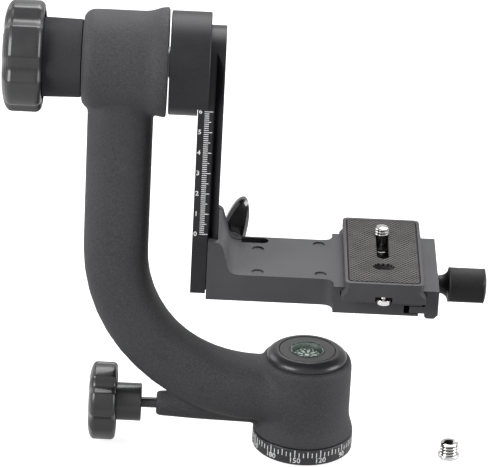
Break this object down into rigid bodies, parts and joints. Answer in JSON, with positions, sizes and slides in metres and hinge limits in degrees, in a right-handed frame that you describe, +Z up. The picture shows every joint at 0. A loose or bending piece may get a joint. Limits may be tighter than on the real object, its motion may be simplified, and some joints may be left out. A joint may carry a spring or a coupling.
{
  "type": "cantilever gimbal head",
  "caption": "Side-arm tripod head for a camera with a long lens: curved cast arm on a panning base, tilting dovetail rail, sliding bracket, quick-release clamp and plate.",
  "frame": {"origin": "on the pan axis, on the base's bottom face, at the mouth of the tripod socket", "axes": "+Z up along the pan axis, +X from the arm towards the camera plate, -Y towards the side with the height scale"},
  "size_m": [0.2237, 0.071, 0.2149],
  "materials": {
    "powder_coat": "fine sand-textured black powder coat on cast aluminium",
    "anodised": "black anodised, satin",
    "anodised_grey": "black anodised with a grey sheen, bead blasted",
    "gloss_black": "black anodised, polished",
    "matte_black": "black anodised, matte",
    "gloss_plastic": "glossy black moulded plastic",
    "matte_plastic": "matte black plastic",
    "rubber": "warm grey rubber with small raised diamonds",
    "steel": "turned steel",
    "black_steel": "blackened steel",
    "chrome": "bright plated steel",
    "bronze": "plain bearing bronze",
    "compass_green": "printed dark green card",
    "clear": "clear moulded dome",
    "scale_white": "white paint of the scales, in engraved lines"
  },
  "bodies": {
    "base": {"base_ring": "anodised", "pan_spindle": "steel", "flange_screw_1": "steel", "flange_screw_2": "steel", "flange_screw_3": "steel", "spindle_nut": "steel", "thread_adapter": "chrome"},
    "arm": {"arm_casting": "powder_coat", "pan_bush": "bronze", "pan_bearing": "steel", "cap": "gloss_black", "cap_insert": "matte_black", "compass_bowl": "matte_plastic", "compass_dome": "clear", "tilt_bearing_inner": "steel", "tilt_bearing_outer": "steel", "tilt_collar": "matte_black"},
    "compass": {"compass_card": "compass_green"},
    "pan_shoe": {"pan_brake_shoe": "bronze"},
    "pan_lock": {"pan_knob": "gloss_plastic", "pan_knob_stud": "black_steel"},
    "swing": {"tilt_disc": "anodised", "dovetail_rail": "anodised", "tilt_shaft": "steel", "shaft_retainer": "steel", "rail_screw_1": "steel", "rail_screw_2": "steel"},
    "tilt_pad": {"tilt_brake_pad": "bronze"},
    "tilt_lock": {"tilt_knob": "gloss_plastic", "tilt_knob_screw": "black_steel"},
    "bracket": {"bracket": "anodised_grey", "clamp_stud": "steel"},
    "bar_washer": {"lock_washer": "steel"},
    "bar_lock": {"lock_knob": "gloss_black", "lock_screw": "steel"},
    "jaw": {"clamp_jaw": "anodised_grey", "clamp_washer": "steel"},
    "clamp_lock": {"clamp_knob": "matte_black"},
    "plate": {"plate": "anodised", "plate_pad": "rubber", "stop_screw_1": "chrome", "stop_screw_2": "chrome"},
    "screw_slider": {"camera_screw_washer": "matte_plastic"},
    "camera_screw": {"camera_screw": "chrome"}
  },
  "joints": [
    {"name": "pan_turn", "type": "hinge", "parent": "base", "child": "arm", "pos_m": [0, 0, 0], "axis": [0, 0, 1], "continuous": true},
    {"name": "compass_turn", "type": "hinge", "parent": "arm", "child": "compass", "pos_m": [0, 0, 0.0455], "axis": [0, 0, 1], "continuous": true},
    {"name": "pan_shoe_travel", "type": "slide", "parent": "arm", "child": "pan_shoe", "axis": [-1, 0, 0], "range_m": [0, 0.0012]},
    {"name": "pan_knob_turn", "type": "hinge", "parent": "pan_shoe", "child": "pan_lock", "pos_m": [-0.0887, 0, 0.0173], "axis": [-1, 0, 0], "range_deg": [0, 540]},
    {"name": "tilt_swing", "type": "hinge", "parent": "arm", "child": "swing", "pos_m": [-0.0785, 0, 0.1889], "axis": [1, 0, 0], "continuous": true},
    {"name": "tilt_pad_travel", "type": "slide", "parent": "arm", "child": "tilt_pad", "axis": [-1, 0, 0], "range_m": [0, 0.0015]},
    {"name": "tilt_knob_turn", "type": "hinge", "parent": "tilt_pad", "child": "tilt_lock", "pos_m": [-0.1345, 0, 0.1889], "axis": [-1, 0, 0], "range_deg": [0, 360]},
    {"name": "bracket_height", "type": "slide", "parent": "swing", "child": "bracket", "axis": [0, 0, 1], "range_m": [0, 0.06]},
    {"name": "bar_washer_travel", "type": "slide", "parent": "bracket", "child": "bar_washer", "axis": [0, 1, 0], "range_m": [0, 0.0008]},
    {"name": "bar_knob_turn", "type": "hinge", "parent": "bar_washer", "child": "bar_lock", "pos_m": [-0.0375, 0.0278, 0.0915], "axis": [0, 1, 0], "range_deg": [0, 360]},
    {"name": "jaw_travel", "type": "slide", "parent": "bracket", "child": "jaw", "axis": [1, 0, 0], "range_m": [0, 0.0049]},
    {"name": "clamp_knob_turn", "type": "hinge", "parent": "jaw", "child": "clamp_lock", "pos_m": [0.0695, 0, 0.0854], "axis": [1, 0, 0], "range_deg": [0, 2520]},
    {"name": "plate_slide", "type": "slide", "parent": "bracket", "child": "plate", "axis": [0, 1, 0], "range_m": [-0.025, 0.025]},
    {"name": "camera_screw_slide", "type": "slide", "parent": "plate", "child": "screw_slider", "axis": [0, 1, 0], "range_m": [-0.0236, 0]},
    {"name": "camera_screw_turn", "type": "hinge", "parent": "screw_slider", "child": "camera_screw", "pos_m": [0.03175, 0.0182, 0.0955], "axis": [0, 0, 1], "continuous": true}
  ],
  "couplings": [
    {"joint": "pan_knob_turn", "follows": "pan_shoe_travel", "rad_per_m": 7853.9},
    {"joint": "tilt_knob_turn", "follows": "tilt_pad_travel", "rad_per_m": 4188.7},
    {"joint": "bar_knob_turn", "follows": "bar_washer_travel", "rad_per_m": 7853.9},
    {"joint": "clamp_knob_turn", "follows": "jaw_travel", "rad_per_m": 8975.9}
  ]
}
